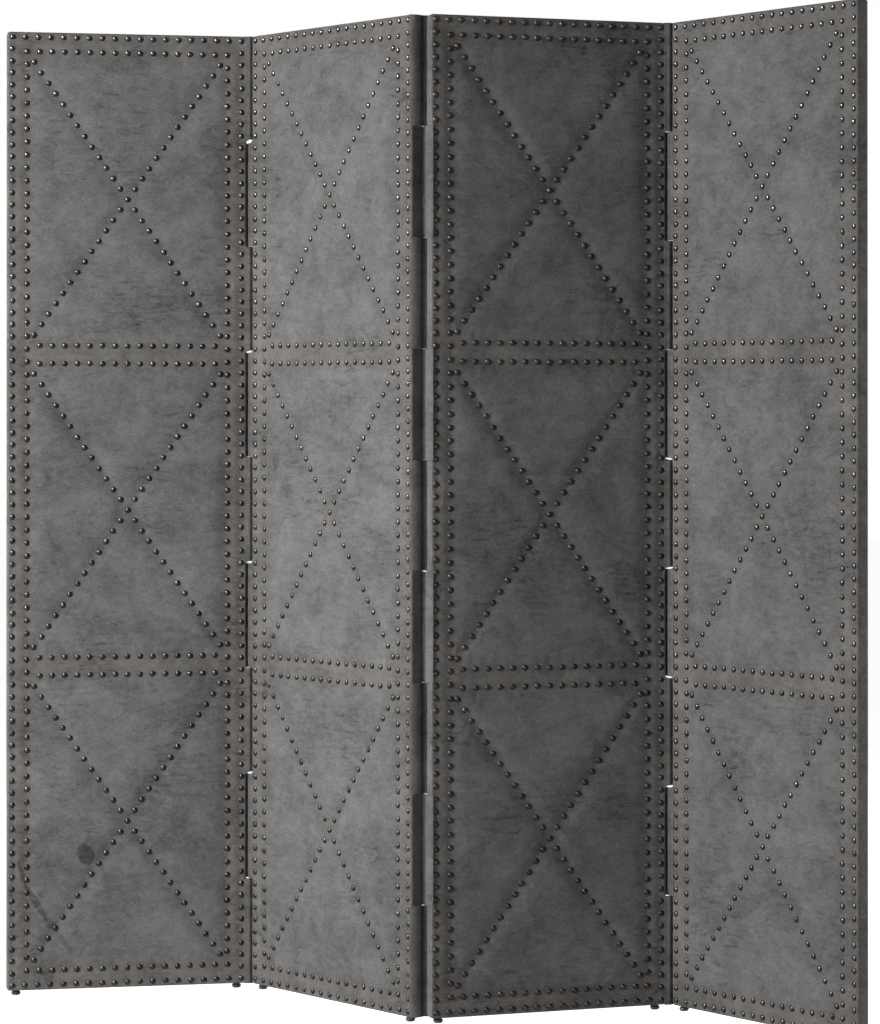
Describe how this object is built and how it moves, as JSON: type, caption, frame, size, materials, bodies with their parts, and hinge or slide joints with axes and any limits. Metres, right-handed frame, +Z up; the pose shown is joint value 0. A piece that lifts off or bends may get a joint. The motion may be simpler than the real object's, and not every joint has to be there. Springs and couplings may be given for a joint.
{
  "type": "folding screen",
  "caption": "Folding screen of upholstered panels with borders and crosses of dome nails, joined by interleaved cloth hinges and standing on small round glides.",
  "frame": {"origin": "on the floor, under the middle of the whole screen's box as it stands in the rest pose", "axes": "+Z up along the panels' height, +X along the row from the first panel to the fourth, and the nailed fronts face -Y"},
  "size_m": [1.6458, 0.2813, 1.829],
  "materials": {
    "velvet": "mottled brushed pile, matte",
    "hinge_velvet": "brushed pile, matte",
    "wadding": "matte fibre",
    "timber": "planed, bare",
    "plywood": "bare",
    "hardboard": "bare",
    "nail_bronze": "dark antiqued, worn lighter on the crowns",
    "glide_plastic": "matte"
  },
  "bodies": {
    "panel_1": {"left_stile_1": "timber", "right_stile_1": "timber", "top_rail_1": "timber", "bottom_rail_1": "timber", "middle_rails_1": "timber", "front_board_1": "plywood", "back_board_1": "hardboard", "front_padding_1": "wadding", "front_cover_1": "velvet", "back_cover_1": "velvet", "border_nails_1": "nail_bronze", "cross_nails_1": "nail_bronze", "glides_1": "glide_plastic", "hinge_strips_12_left": "hinge_velvet"},
    "panel_2": {"left_stile_2": "timber", "right_stile_2": "timber", "top_rail_2": "timber", "bottom_rail_2": "timber", "middle_rails_2": "timber", "front_board_2": "plywood", "back_board_2": "hardboard", "front_padding_2": "wadding", "front_cover_2": "velvet", "back_cover_2": "velvet", "border_nails_2": "nail_bronze", "cross_nails_2": "nail_bronze", "glides_2": "glide_plastic", "hinge_strips_12_right": "hinge_velvet", "hinge_strips_23_left": "hinge_velvet"},
    "panel_3": {"left_stile_3": "timber", "right_stile_3": "timber", "top_rail_3": "timber", "bottom_rail_3": "timber", "middle_rails_3": "timber", "front_board_3": "plywood", "back_board_3": "hardboard", "front_padding_3": "wadding", "front_cover_3": "velvet", "back_cover_3": "velvet", "border_nails_3": "nail_bronze", "cross_nails_3": "nail_bronze", "glides_3": "glide_plastic", "hinge_strips_23_right": "hinge_velvet", "hinge_strips_34_left": "hinge_velvet"},
    "panel_4": {"left_stile_4": "timber", "right_stile_4": "timber", "top_rail_4": "timber", "bottom_rail_4": "timber", "middle_rails_4": "timber", "front_board_4": "plywood", "back_board_4": "hardboard", "front_padding_4": "wadding", "front_cover_4": "velvet", "back_cover_4": "velvet", "border_nails_4": "nail_bronze", "cross_nails_4": "nail_bronze", "glides_4": "glide_plastic", "hinge_strips_34_right": "hinge_velvet"}
  },
  "joints": [
    {"name": "fold_12", "type": "hinge", "parent": "panel_2", "child": "panel_1", "pos_m": [-0.40124, 0.08608, 0.9], "axis": [0, 0, 1], "range_deg": [-57.5, 122.5]},
    {"name": "fold_23", "type": "hinge", "parent": "panel_2", "child": "panel_3", "pos_m": [0.01659, -0.11726, 0.9], "axis": [0, 0, 1], "range_deg": [-64.5, 115.5]},
    {"name": "fold_34", "type": "hinge", "parent": "panel_3", "child": "panel_4", "pos_m": [0.41735, 0.11791, 0.9], "axis": [0, 0, -1], "range_deg": [-66.5, 113.5]}
  ]
}
